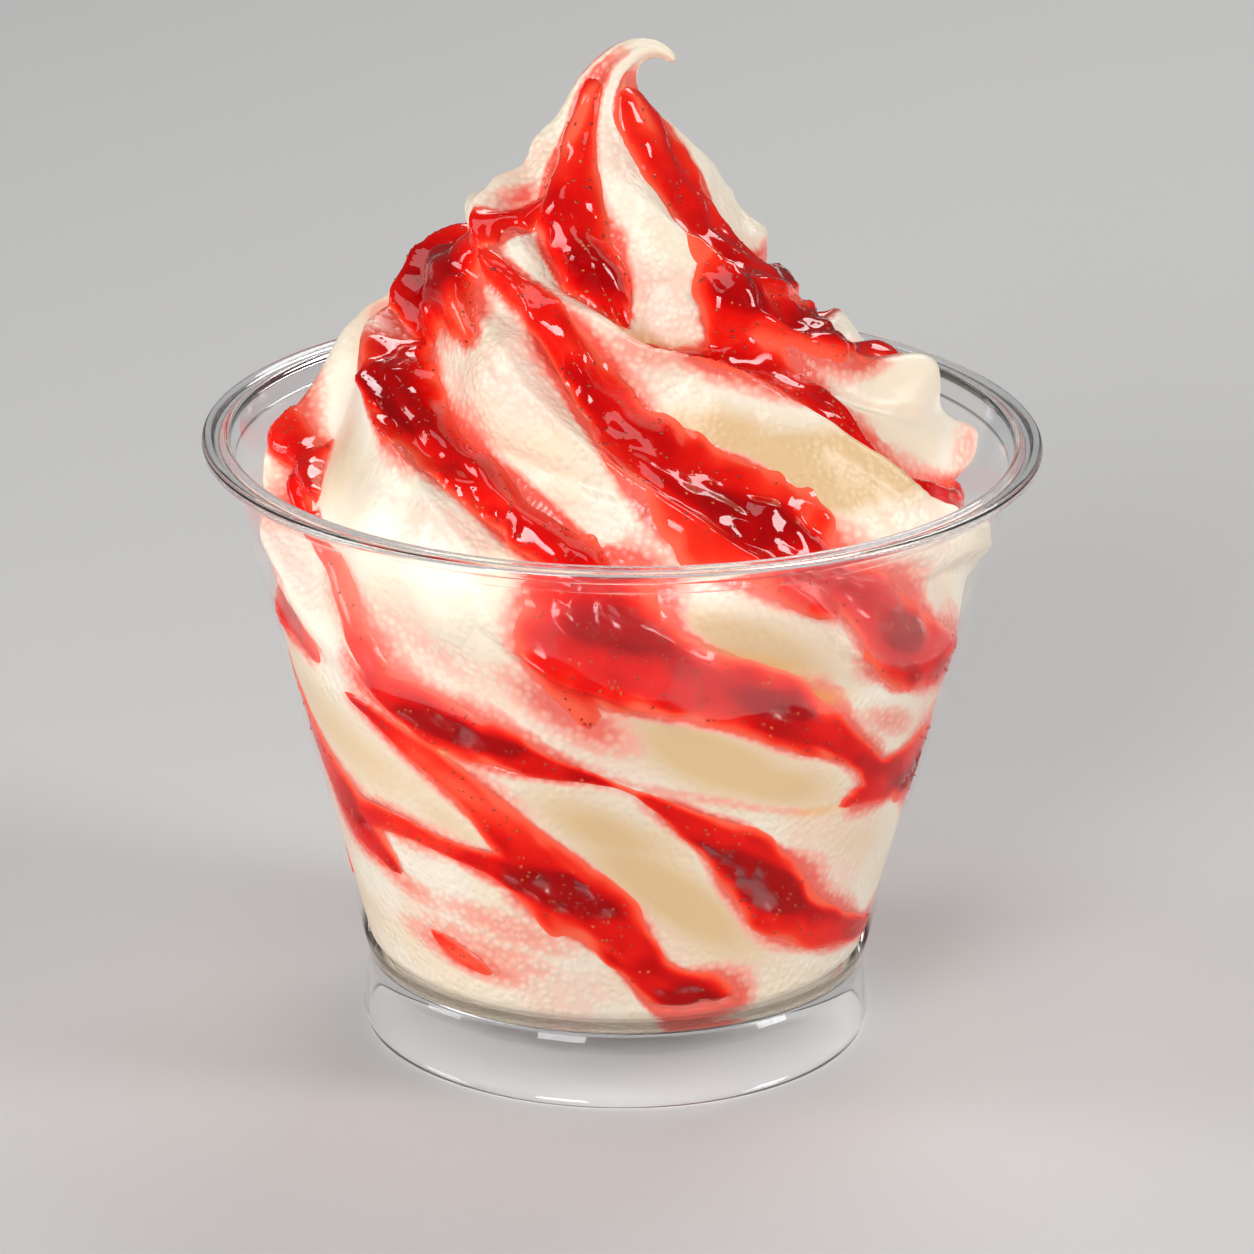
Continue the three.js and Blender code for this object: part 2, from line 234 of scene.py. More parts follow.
def clear_plastic():
    """Clear plastic with a hard gloss, which lets the light for the contents straight through."""
    material, tree, surface = new_material("clear plastic")
    dye = Dye(tree)
    shadow = dye.node("ShaderNodeLightPath", {}, {}, "Is Shadow Ray")
    place_on = dye.node("ShaderNodeTexCoord", {}, {}, "Object")
    height = dye.node("ShaderNodeSeparateXYZ", {}, {"Vector": place_on}, "Z")
    ledge = (CUP_HEIGHT - LEDGE_DROP) * MM
    rim = height.between(ledge - RIM_FADE * MM, ledge + RIM_FADE * MM)
    foot_from, foot_to = (FLOOR_HEIGHT + fade for fade in FOOT_FADE)
    foot = 1 - height.between(foot_from * MM, foot_to * MM)
    # The rim and foot are tinted a little grey: painted shade that stands in for the dark reflections
    # thick clear plastic shows.
    solid = dye.node("ShaderNodeBsdfPrincipled", {}, {
        "Base Color": (rim + foot).tint(colour(1.0, 1.0, 1.0), colour(0.92, 0.93, 0.94)),
        "Roughness": 0.015,
        "IOR": 1.5,
        "Alpha": WALL_BODY + (1 - WALL_BODY) * (rim + foot),
        "Transmission Weight": 1.0,
    })
    open_air = dye.node("ShaderNodeBsdfTransparent", {}, {"Color": colour(0.97, 0.975, 0.98)})
    mixed = dye.node("ShaderNodeMixShader", {}, {0: shadow, 1: solid, 2: open_air})
    tree.links.new(mixed.socket, surface)
    return material


cup = spin_from_section("clear_cup", cup_corners(), CUP_STEPS)
cup.data.materials.append(clear_plastic())
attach(cup, "root")
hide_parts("cup")

# Ice cream: soft serve piped through a star nozzle in one turning pour, so that eight lobes wind down
# to the right from a drop with a curled tip. It fills the cup and is pressed flat on its clear wall.
SWIRL_AROUND = 400
SWIRL_ROWS = 240
ROW_CROWDING = 0.22
CURVE_STEPS = 80
WALL_BITE = 0.15
CONTACT_HEIGHT = 50
CONTACT_FADE = (-2, 14)
FLOOR_FADE = 6
SHOULDER = (42.7, 63.5)
CONE = (36.6, 76)
TIP = (6.7, 110)
TIP_END = (0.5, 124.5)
LEAN_SHIFT = -2.2
CURL_LENGTH = 14
CURL_ANGLE = 140
AXIS_STEP = 0.25
CURL_START = TIP_END[1] - CURL_LENGTH
LOBES = 8
LOBE_PITCH = 360 / LOBES
LOBE_DEPTH = 5.4
LOBE_DEPTH_TO_RADIUS = 0.3
LOBE_SHARPNESS = 2.1
PRESSED_DEPTH = 3.2
BED_EDGE = (0.35, 1.0)
BED_HALVES = (0.5, 2.5)
RIDGE_SKEW = 0.25
LEAST_FLANK = 11
GENTLE_FLANK = 24
RIDGE_RISE = 1.2
RIDGE_WIDTH = 2.6
RIDGE_SHARPNESS = 1.4
RIDGE_RADII = (1, 14)
TWIST_PER_MM = 2.4
DROP_TWIST_PER_MM = 1.35
FRONT_HEIGHT = 80
DROP_HEIGHT = 93.7
DROP_FADE = (-5, 6)
DROP_TURN = -21
FLANK_SPREAD = 9
SWAY = 12
SWAY_LENGTH = 60
SWAY_HEIGHTS = (28, 86, 33, 10, 60, 47, 33, 69)
VALLEY_SHIFTS = (2, 5, -2, -3, 1, 0, -10, 5)
STREAM_HALF = 2.4
STREAM_SWELL = 1.2
STREAM_SPREAD = 0.2
STREAM_THINNING = 0.6
STREAM_STEP = 1.0
STREAM_REACH = 14
NO_STREAM = (9.0, 99.0)  # share of a half width, and millimetres past an edge, far from any stream
STREAM_TOPS = (97.5, 119)
STREAM_BOTTOM = 11.5
POOL_SPACING = 26
POOL_HEIGHTS = (76, 90, 93, 105, 38, 26, 47, 60)

# Where the sauce's stream down each valley leaves the even winding: height, angle from the front and
# half width in millimetres.
STREAMS = (
    ((97.3, -44, 1.3), (96, -28, 1.6), (94.5, -20, 1.9), (92.5, -14, 2.3), (90, -8, 2.8),
     (87, -3, 3.3), (84, 3, 3.8), (81, 9, 4.8), (78.5, 14, 5.6), (76, 20, 6.2), (73.5, 25, 6.2),
     (71.5, 29, 5.6), (69, 33, 4.6), (66, 39, 3), (63, 43, 3.4), (60, 46, 4.4), (57, 49, 5.0),
     (54.5, 52, 4.8), (52.5, 57, 3.8), (50.5, 64, 2.8), (48, 74, 2.4), (46, 85, 2.2),
     (43.5, 95, 2.5)),
    ((117.5, -46, 0.8), (113, -43, 1.7), (110, -38, 2.4), (107, -34, 3), (104.5, -27, 3.3),
     (102, -17, 3.7), (100, -8, 3.9), (98, 0, 3), (96.3, 6, 1.4), (94.5, 10, 0.3), (92.4, 17, 0.7),
     (91, 23, 1.5), (90, 30, 2.2), (88.8, 38, 2.8), (87, 45, 3.2), (84.8, 51, 3.0), (82.4, 55, 2.2),
     (79.5, 58, 1.4), (77, 61, 1), (74.5, 63, 1.2), (72, 66, 1.8), (69.5, 72, 2.2), (66, 80, 2.5)),
    ((97.5, 47, 2.2), (95, 45, 3.6), (92.7, 49, 3), (91.2, 56, 2.6), (90, 62, 3.2), (88.6, 70, 3.8),
     (87.2, 78, 3.8), (85.6, 86, 3), (83.8, 94, 2.4)),
    ((118.5, 50, 0.7), (115, 54, 1.9), (112, 57, 3.3), (109, 61, 3.9), (106, 63, 4.5), (103, 63, 5.0),
     (100, 60, 5.6), (97.5, 63, 5.2), (95.6, 70, 3.8), (94.2, 80, 3.0), (93, 90, 2.4),
     (23, -100, 2.0), (22, -92, 2.2), (21.4, -84, 1.9), (20.4, -77, 1.3), (18.5, -70, 0.3),
     (16, -62, 0.2)),
    ((97.5, 118, 0.2), (95, 125, 0.4), (92.5, 134, 2.4), (54, -100, 1.4), (50, -90, 1.8),
     (46, -80, 2.2), (42, -72, 2.6), (38, -66, 3.2), (35, -61.5, 3.6), (32, -57, 4.2),
     (29.5, -52.5, 3.2), (27.5, -48.5, 1.8), (26, -45.5, 0.6), (24, -44, 0.3), (20, -42, 0.4),
     (18.6, -38, 1.0), (17.2, -34, 1.5), (16, -29, 0.9), (15, -24, 0.3)),
    ((56, -76, 1.6), (54, -68, 2.0), (52.6, -60, 1.4), (50, -54, 0.3), (48, -44, 1.0),
     (45.5, -37.5, 1.7), (43.5, -32.5, 2.1), (41, -27.5, 2.4), (38, -22.5, 2.9), (35, -18.5, 3.4),
     (32.5, -15, 4), (30, -12, 4.8), (27.5, -8, 4.7), (25, -3, 4), (22.5, 1, 3.2), (20, 4, 2.8),
     (17.5, 7, 2.6), (15.2, 11, 3.2), (13, 17, 4)),
    ((78, -88, 0.3), (74, -84, 0.5), (71, -79, 1.8), (68, -75, 1.8), (65, -70, 0.7), (60, -60, 0.3),
     (56, -52, 0.3), (52.5, -44, 0.6), (51.3, -40, 2.0), (50, -34, 3.0), (48.5, -27, 3.4),
     (47, -20, 2.8), (45.7, -14, 1.8), (44.8, -6, 0.9), (43, 2, 0.6), (40.5, 8, 1), (38, 13, 1.8),
     (36, 17.5, 2.4), (33.5, 22, 3.2), (31, 25.5, 3.7), (28.5, 29, 3.9), (25.5, 33, 3.9),
     (23, 37, 3.5), (20.8, 42, 3), (18.8, 48, 2.6), (17, 55, 2), (15.5, 62, 1.6), (14.5, 70, 1.2)),
    ((88, -74, 0.9), (86.5, -67, 2.2), (84.8, -60, 3.0), (83.2, -54, 3.3), (82, -48, 3.1),
     (80.5, -40, 2.7), (79, -32, 2.3), (77.5, -25, 2.5), (75.5, -18, 2.7), (73.5, -12, 2.7),
     (71.5, -7, 3), (69, -4.5, 4.5), (66.5, -4, 7), (63.5, -3, 7.6), (60.5, 0, 6.2), (58, 6, 4.6),
     (56, 13, 3.9), (54, 20, 3.9), (51.5, 27, 3.7), (49, 32, 3.2), (46.5, 37, 2.4), (44, 42, 1.8),
     (41.5, 46.5, 1.4), (39, 49.5, 1.8), (37.8, 54, 2.8), (37, 62, 4.0), (35.9, 70, 5.2),
     (34.3, 78, 5.6), (32, 86, 5.4), (29.8, 94, 5.0)),
)
# Sauce that lies across the lobes, given in the same way.
SIDE_STREAMS = (
    ((93.6, -112, 3.8), (93.8, -100, 5.2), (94, -85, 5.6), (94.4, -70, 5.0), (94.4, -57, 4.0),
     (92.8, -47, 2.6), (91, -41, 1.2)),
    ((91, -98, 2.4), (90, -88, 3.0), (90, -78, 2.8), (91, -66, 2.2)),
    ((104.3, -44, 1.2), (102, -48, 1.9), (99.5, -53, 2.6), (97, -58, 3.6)),
    ((71, -100, 2.2), (71, -80, 2.4), (70.5, -68, 1.2)),
    ((68, -63, 1.4), (64, -56.5, 2.0), (60, -51, 2.2), (56, -46.5, 2.2), (52.5, -42, 2.2)),
    ((85, -102, 2.0), (83, -95, 1.8), (81, -91, 0.9)),
    ((95.5, 43, 3.0), (93.4, 40, 2.8), (91.4, 35, 1.4)),
    ((36.5, 41, 0.5), (37, 47, 1.4), (36.6, 55, 2.6)),
    ((60, -9, 4), (56, -7, 2.8), (53, -5.5, 1.6), (51, -4.5, 0.6)),
    ((32, -55, 2.6), (33, -47, 1.7), (33, -40, 1.3), (32, -32, 1.2), (31.2, -25, 1.6),
     (30, -17, 2.6)),
)
STATION_FADE = (1, 9)

# Lobe ends that stand proud, and hollows below 0: angle, height, half width in degrees, half height,
# slant in degrees a millimetre, and rise.
LOBE_ENDS = (
    (-34, 99.5, 13, 2.6, -4.2, 1.5),
    (-82, 106, 30, 2.8, 0, -1.6),
    (-78, 100.8, 26, 2.7, 0, 2.5),
    (97, 79.5, 30, 5.0, 0, 4.4),
    (102, 87.5, 40, 6.0, 0, -3.2),
    (112, 95.5, 30, 3.5, 0, 1.8),
    (84, 94.5, 28, 6.0, 0, 1.4),
    (90, 69, 26, 4.6, 0, 1.7),
    (72, 57, 14, 6.0, -1.5, -4.5),
    (-82, 56, 12, 5.0, -1.5, -3.5),
    (-95, 90.2, 30, 5.0, 0, -2.7),
    (-97, 80.5, 38, 7.0, 0, 2.6),
)
# Where the lobes have no sharp ridge: angle, height, half width, half height, slant and how much so.
CALM_LOBES = ((104, 88, 60, 14, 0, 1.6), (-80, 78, 44, 18, -1.5, 1.6))
# Where the lobes' steep flanks are gentle, given in the same way.
GENTLE_LOBES = ((90, 91, 46, 13, 0, 1.6),)
# Folds where one lobe lies on the next: angle and height at both ends.
FOLDS = (
    (-34, 83, 2, 77.5), (-10, 46, 26, 39.5), (6, 43, 38, 36.5), (-86, 66, -62, 57),
    (58, 86, 83, 74.5),
)
FOLD_DEPTH = 0.8
FOLD_WIDTH = 1.1
FOLD_SHARPNESS = 1.5
FOLD_START = (-0.05, 0.2)
FOLD_END = (0.8, 1.05)
# Cream that is smoother and yellower than the rest, with a tan tint that is partly the cream's own colour
# where it is pressed smooth and partly painted shade on lobes' shaded faces: angle, height, half width,
# half height, slant and how much so.
SMOOTH_AND_SHADED_LOBES = (
    (-52, 42, 28, 11, -2.2, 0.7), (-32, 36, 10, 7, -2, 0.6), (16, 46.5, 19, 13, -1.8, 1.3),
    (27, 42, 17, 8, -2.2, 1.2), (-2, 37, 17, 9, -1.8, 1.1), (11, 28, 16, 18, -1.7, 1.3),
    (-78, 44, 22, 8, -2, 0.6), (50, 30, 16, 7, -2.4, 0.4), (-66, 18, 26, 5, -2, 0.5),
    (78, 21, 22, 6, -2, 0.5), (21, 60.5, 17, 10, -1.8, 1.3), (-62, 75, 24, 8, -2.2, 0.4),
    (36, 78.5, 28, 9, -4, 2.4), (22, 84, 18, 5, -4, 1.2), (-18, 82, 15, 4, -3.5, 0.3),
)
# Cream without pebbled wrinkles, given in the same way.
SLICK_LOBES = ((-72, 76, 40, 18, -1.8, 1.6), (88, 78, 40, 12, -1, 1.6))
# Films of thin sauce beside the streams, given in the same way.
SAUCE_FILMS = (
    (-30, 43, 13, 7, -2.2, 0.9), (-8, 53, 12, 8, -1.5, 1.0), (-57, 104, 12, 3, 0, 0.9),
    (50, 46, 8, 5, -2, 0.6), (-28, 19, 20, 5, -3.5, 0.5), (-58, 92, 16, 4, -2, 0.9),
    (14, 91, 20, 3, -5, 0.5), (-10, 94, 8, 3, -3, 0.8), (-33, 58, 24, 10, -2.5, 0.25),
    (-45, 25, 12, 4, -2.5, 0.6), (58, 83, 8, 6, -2, 0.5), (-46, 98, 12, 5, -2, 0.9),
    (-22, 22.5, 20, 5, -3, 0.5), (88, 70, 14, 4, 0, 0.35), (-51, 60, 13, 12, -1.6, 0.7),
    (-46, 115.5, 18, 5, 0, 1.0), (52, 116, 18, 4.5, 0, 0.9), (-38, 32.6, 15, 4, 0, 0.7),
    (-33, 17.2, 18, 4.5, -3, 0.9),
)
# Creases where amber is painted on the cream as the glow of light through thin sauce, given in the same
# way.
AMBER_GLOW_CREASES = (
    (13, 93.2, 16, 2.4, -4.5, 0.9), (23, 57, 11, 4.5, -2.5, 0.9), (33, 52.5, 7, 2.5, -2.5, 0.8),
    (-33, 46, 6, 2.5, -2, 0.6), (37, 36.8, 8, 1.4, -4, 0.7), (34, 114, 16, 5, 0, 0.8),
)


def smooth(value, low, high):
    """0 below low, 1 above high, with a smooth step between."""
    share = np.clip((value - low) / (high - low), 0, 1)
    return share * share * (3 - 2 * share)


def bezier(points, count):
    """Points along a curve with two handles, without its first point."""
    a, b, c, d = (np.array(point, float) for point in points)
    t = np.linspace(0, 1, count)[1:, None]
    return (1 - t) ** 3 * a + 3 * (1 - t) ** 2 * t * b + 3 * (1 - t) * t ** 2 * c + t ** 3 * d


def crest_rows(count):
    """Rows up the swirl's crest line: radius and height, and the surface's outward direction there."""
    bottom = FLOOR_HEIGHT - WALL_BITE
    corner = bottom + FLOOR_FILLET

    def side(height):
        return wall_inside(height) + WALL_BITE, height

    (shoulder_r, shoulder_h), (cone_r, cone_h) = SHOULDER, CONE
    (tip_r, tip_h), (end_r, end_h) = TIP, TIP_END
    foot = (side(corner)[0] - FLOOR_FILLET, bottom)
    # Each curve from its start, by the two handles that bend it, to its end.
    curves = (
        (foot, (side(bottom)[0] - 0.7, bottom), (side(corner)[0], corner - 1.3), side(corner)),
        (side(corner), side(25), side(38), side(CONTACT_HEIGHT)),
        (side(CONTACT_HEIGHT), side(56), (shoulder_r, shoulder_h - 5), SHOULDER),
        (SHOULDER, (shoulder_r, shoulder_h + 5), (cone_r + 4, cone_h - 5), CONE),
        (CONE, (cone_r - 7, cone_h + 9.5), (tip_r + 9, tip_h - 9.5), TIP),
        (TIP, (tip_r - 3.6, tip_h + 4), (end_r + 1.1, end_h - 5), TIP_END),
    )
    line = np.concatenate([[foot]] + [bezier(points, CURVE_STEPS) for points in curves])
    run = np.concatenate([[0], np.cumsum(np.linalg.norm(np.diff(line, axis=0), axis=1))])
    tangent = np.gradient(line, run, axis=0)
    tangent /= np.linalg.norm(tangent, axis=1, keepdims=True)
    along = np.linspace(0, 1, count)
    share = along * (1 + ROW_CROWDING * (1 - along)) * run[-1]
    return [np.interp(share, run, values)[:, None]
            for values in (line[:, 0], line[:, 1], tangent[:, 1], -tangent[:, 0])]


def on_drop(height):
    """1 on the drop at the swirl's top, 0 on the lobes below it."""
    return smooth(height, DROP_HEIGHT + DROP_FADE[0], DROP_HEIGHT + DROP_FADE[1])


def above_contact(height):
    """0 where the cream is pressed on the cup's wall, 1 where it stands free."""
    return smooth(height, CONTACT_HEIGHT + CONTACT_FADE[0], CONTACT_HEIGHT + CONTACT_FADE[1])


def wrapped(angle):
    """An angle in degrees, brought between -180 and 180."""
    return (angle + 180) % 360 - 180


def nozzle_turn(height):
    """How far the nozzle has turned the lobes at a height."""
    over_drop = np.maximum(0, height - DROP_HEIGHT - DROP_FADE[1])
    return TWIST_PER_MM * (FRONT_HEIGHT - height) + (TWIST_PER_MM - DROP_TWIST_PER_MM) * over_drop


def even_winding(valley, height):
    """A valley's angle as the nozzle's turning alone would lay it."""
    sway = SWAY * np.cos(2 * np.pi * (height - SWAY_HEIGHTS[valley % LOBES]) / SWAY_LENGTH)
    start = valley * LOBE_PITCH + VALLEY_SHIFTS[valley % LOBES]
    return start + nozzle_turn(height) + DROP_TURN * on_drop(height) + sway


def station_blend(valley, height, value_at_station, value_elsewhere):
    """A value read along a valley's stations, fading to another value away from them."""
    stations = sorted(STREAMS[valley % LOBES])
    heights = np.array([station[0] for station in stations])
    values = np.array([value_at_station(*station) for station in stations])
    gap = np.min(np.abs(height[..., None] - heights), axis=-1)
    near = 1 - smooth(gap, *STATION_FADE)
    return value_elsewhere + near * (np.interp(height, heights, values) - value_elsewhere)


def valley_angle(valley, height):
    """A valley's angle from the front, drawn to its stations."""

    def drift(station_height, angle, half):
        return float(wrapped(angle - even_winding(valley, station_height)))

    return even_winding(valley, height) + station_blend(valley, height, drift, 0)


def stream_half(valley, height):
    """Half the width of the sauce's stream down a valley."""
    swell = np.cos(2 * np.pi * (height - POOL_HEIGHTS[valley]) / POOL_SPACING)
    even = (STREAM_HALF + STREAM_SWELL * swell) * (1 - STREAM_THINNING * on_drop(height))
    half_there = station_blend(valley, height, lambda station_height, angle, half: half, even)
    return half_there * (1 + STREAM_SPREAD * above_contact(height))


def all_streams():
    """Every stream as its heights, angles and half widths, from the top down."""
    for valley in range(LOBES):
        heights = np.arange(STREAM_TOPS[valley % 2], STREAM_BOTTOM, -STREAM_STEP)
        yield np.stack([heights, valley_angle(valley, heights), stream_half(valley, heights)], axis=1)
    for stream in SIDE_STREAMS:
        yield np.array(stream, float)


def way_from_streams(angle, rows):
    """How far each point is from the sauce: the share of the nearest stream's half width, millimetres
    past its edge, below 0 on its left, and that half width."""
    radius, height = rows[0], rows[1]
    steps = np.hypot(np.diff(radius[:, 0]), np.diff(height[:, 0]))
    run = np.concatenate([[0], np.cumsum(steps)])[:, None]
    share = np.full(angle.shape, NO_STREAM[0])
    past = np.full(angle.shape, NO_STREAM[1])
    width = np.ones(angle.shape)
    for stream in all_streams():
        levels = np.interp(stream[:, 0], height[:, 0], run[:, 0])
        stretches = zip(stream, stream[1:], levels, levels[1:])
        for (_, start, half), (_, end, end_half), low, high in stretches:
            near = np.abs(run[:, 0] - (low + high) / 2) < STREAM_REACH
            across = np.radians(wrapped(angle[near] - start)) * radius[near]
            up = run[near] - low
            over = np.radians(end - start) * radius[near]
            rise = high - low
            along = np.clip((across * over + up * rise) / (over ** 2 + rise ** 2), 0, 1)
            aside = across - along * over
            here = half + along * (end_half - half)
            away = np.hypot(aside, up - along * rise)
            nearer = away / here < share[near]
            share[near] = np.where(nearer, away / here, share[near])
            side = np.where(up * over > across * rise, 1, -1)
            past[near] = np.where(nearer, side * (away - here), past[near])
            width[near] = np.where(nearer, here, width[near])
    return share, past, width


def patch_way(angle, height, middle, level, half_angle, half_height, slant):
    """How far out of a slanted oval patch each point is: 0 at its middle and 1 on its edge."""
    across = wrapped(angle - middle - slant * (height - level)) / half_angle
    return np.hypot(across, (height - level) / half_height)


def patches(angle, height, ovals):
    """Overlapping oval patches, each fading from its last value at its middle to 0 at its edge."""
    ways = [(patch_way(angle, height, *oval), value) for *oval, value in ovals]
    return np.max([value * (1 - smooth(way, 0, 1)) for way, value in ways], axis=0)


def off_floor(height):
    """0 on the cup's floor, 1 a little above it."""
    return smooth(height, FLOOR_HEIGHT, FLOOR_HEIGHT + FLOOR_FADE)


def pressed_bed(height, share, half):
    """The bed of the sauce in cream that is pressed on the cup's wall."""
    return PRESSED_DEPTH * off_floor(height) * (1 - smooth(share, *BED_EDGE)) * smooth(half, *BED_HALVES)


def swirl_form(angle, rows, in_cup):
    """The lobes' depth below the crest line. In the cup only the sauce's bed is below it."""
    radius, height = rows[0], rows[1]
    deepest = np.minimum(LOBE_DEPTH, LOBE_DEPTH_TO_RADIUS * radius) * off_floor(height)
    drop = on_drop(height)
    free = above_contact(height)
    skew = RIDGE_SKEW * (1 - drop)
    gentle = np.minimum(patches(angle, height, GENTLE_LOBES), 1)
    least_flank = LEAST_FLANK + (GENTLE_FLANK - LEAST_FLANK) * gentle
    lines = [valley_angle(valley, height) for valley in range(-1, LOBES + 1)]
    depth = np.zeros(np.broadcast(angle, height).shape)
    ridge = np.zeros(depth.shape)
    for valley in range(LOBES):
        centre = lines[valley + 1]
        apart = wrapped(angle - centre)
        left_gap = (0.5 - skew) * (centre - lines[valley])
        right_gap = (0.5 + skew) * (lines[valley + 2] - centre)
        span = np.maximum(np.where(apart < 0, left_gap, right_gap), least_flank)
        standing = 1 if valley % 2 else 1 - drop
        span = span * (1 + valley % 2 * drop)
        flank = 1 - np.clip(np.abs(apart) / span, 0, 1) ** 2
        depth += deepest * standing * flank ** LOBE_SHARPNESS
        from_ridge = np.radians(np.abs(span - apart)) * radius
        crest = np.clip(1 - from_ridge / RIDGE_WIDTH, 0, 1) ** RIDGE_SHARPNESS
        ridge = np.maximum(ridge, standing * crest)
    ends = sum(rise * (1 - smooth(patch_way(angle, height, *oval), 0, 1)) for *oval, rise in LOBE_ENDS)
    calm = np.minimum(patches(angle, height, CALM_LOBES), 1)
    ridge *= RIDGE_RISE * smooth(radius, *RIDGE_RADII) * (1 - calm)
    return in_cup + free * (depth - in_cup - ridge - ends)


def place(angle, radius, height):
    """A point of the swirl, from its angle, its distance from the bent axis and its height along it."""
    theta = np.radians(angle)
    across = radius * np.sin(theta)
    away = -radius * np.cos(theta)
    walked = np.arange(0, CURL_LENGTH + 1, AXIS_STEP)
    heading = np.radians(CURL_ANGLE) * (walked / CURL_LENGTH) ** 2
    axis_x = LEAN_SHIFT + np.cumsum(np.sin(heading) * AXIS_STEP)
    axis_z = CURL_START + np.cumsum(np.cos(heading) * AXIS_STEP) - AXIS_STEP
    over = np.maximum(0, height - CURL_START)
    turn = np.interp(over, walked, heading)
    lean = LEAN_SHIFT * smooth(height, CONE[1], DROP_HEIGHT)
    x = np.where(height > CURL_START, np.interp(over, walked, axis_x), lean)
    z = np.where(height > CURL_START, np.interp(over, walked, axis_z), height)
    return np.stack([x + across * np.cos(turn), away, z - across * np.sin(turn)], axis=-1)


def swirl_points(angle, rows, rise):
    """Points of the swirl at a rise above its crest line."""
    radius, height, out_r, out_h = rows
    spread = angle + FLANK_SPREAD * np.sin(np.radians(angle)) ** 3
    return place(spread, radius + rise * out_r, height + rise * out_h)


WAVE_SPREAD = (0.7, 1.5)


def waves(points, length, seed, count=28):
    """Smooth unevenness of about unit size, from plane waves of about one length in all directions."""
    draw = np.random.default_rng(seed)
    directions = draw.normal(size=(count, 3))
    directions /= np.linalg.norm(directions, axis=1, keepdims=True)
    numbers = 2 * np.pi / (length * draw.uniform(*WAVE_SPREAD, count))
    phases = draw.uniform(0, 2 * np.pi, count)
    total = np.zeros(points.shape[:-1])
    for direction, number, phase in zip(directions, numbers, phases):
        total += np.cos(points @ direction * number + phase)
    return total * math.sqrt(2 / count)


def fold_depth(angle, rows):
    """Grooves along the folds, fading out at their ends."""
    radius, height = rows[0], rows[1]
    groove = np.zeros(np.broadcast(angle, height).shape)
    for start_angle, start_height, end_angle, end_height in FOLDS:
        across = np.radians(wrapped(angle - start_angle)) * radius
        up = height - start_height
        run = np.radians(end_angle - start_angle) * radius
        fall = end_height - start_height
        length = np.hypot(run, fall)
        along = (across * run + up * fall) / length ** 2
        aside = np.abs(across * fall - up * run) / length
        ending = smooth(along, *FOLD_START) * (1 - smooth(along, *FOLD_END))
        cut = np.clip(1 - aside / FOLD_WIDTH, 0, 1) ** FOLD_SHARPNESS
        groove = np.maximum(groove, ending * cut)
    return FOLD_DEPTH * groove


def mesh_piece(name, points, faces, **shades):
    """A piece from points in millimetres and lists of corners, with each shade's value at each point."""
    mesh = bpy.data.meshes.new(name)
    mesh.from_pydata((points * MM).tolist(), [], faces)
    for shade, values in shades.items():
        mesh.attributes.new(shade, "FLOAT", "POINT").data.foreach_set("value", values.astype(np.float32))
    mesh.polygons.foreach_set("use_smooth", [True] * len(mesh.polygons))
    mesh.update()
    piece = bpy.data.objects.new(name, mesh)
    bpy.context.scene.collection.objects.link(piece)
    return piece


def ring_faces(count, around):
    """Four-sided faces between rings of points that stand one above the other."""
    row, column = np.mgrid[0:count - 1, 0:around]
    low = row * around + column
    low_next = row * around + (column + 1) % around
    return np.stack([low, low_next, low_next + around, low + around], axis=-1).reshape(-1, 4)


UNEVEN_LARGE = 0.35
UNEVEN_SMALL = 0.06
UNEVEN_SINK = 0.4
SLICKENED = 0.6
TIP_RADII = (1.0, 9.0)
TIP_CAP = 0.4
STAIN_RIGHT = 1.5
STAIN_LEFT = 0.9
STAIN_DRY = 0.7
STAIN_WAVE = 0.6
LEAST_STAIN = 0.25
STAIN_FALL = 1.5
STAIN_HALVES = (0.4, 1.4)
STAIN_TOP = (117.5, 121)
BLUSH = 0.16
BLUSH_WAVES = (0.0, 1.4)
FOLD_STAIN = 0.4

swirl_rows = crest_rows(SWIRL_ROWS)
swirl_height = swirl_rows[1]
swirl_angles = np.linspace(0, 360, SWIRL_AROUND, endpoint=False)[None, :] + nozzle_turn(swirl_height)
sauce_share, past_edge, sauce_half = way_from_streams(swirl_angles, swirl_rows)
sauce_bed = pressed_bed(swirl_height, sauce_share, sauce_half)
lobe_depth = swirl_form(swirl_angles, swirl_rows, sauce_bed)
smooth_points = swirl_points(swirl_angles, swirl_rows, -lobe_depth)
free = above_contact(swirl_height)
thin_tip = smooth(swirl_rows[0], *TIP_RADII)
# Smooth, yellower cream: partly its own colour where it is pressed smooth, partly tan painted shade on
# lobes' shaded faces.
smooth_and_shaded = np.minimum(patches(swirl_angles, swirl_height, SMOOTH_AND_SHADED_LOBES), 1)
slick = np.minimum(patches(swirl_angles, swirl_height, SLICK_LOBES), 1)
unevenness = UNEVEN_LARGE * waves(smooth_points, length=11, seed=3)
unevenness += UNEVEN_SMALL * waves(smooth_points, length=3.2, seed=5)
unevenness = (unevenness - UNEVEN_SINK) * thin_tip * (1 - SLICKENED * np.maximum(smooth_and_shaded, slick))
cream_rise = -lobe_depth + free * unevenness - free * fold_depth(swirl_angles, swirl_rows)
cream_rise = np.where(swirl_height > CONTACT_HEIGHT, cream_rise, np.minimum(cream_rise, 0))
cream_points = swirl_points(swirl_angles, swirl_rows, cream_rise)

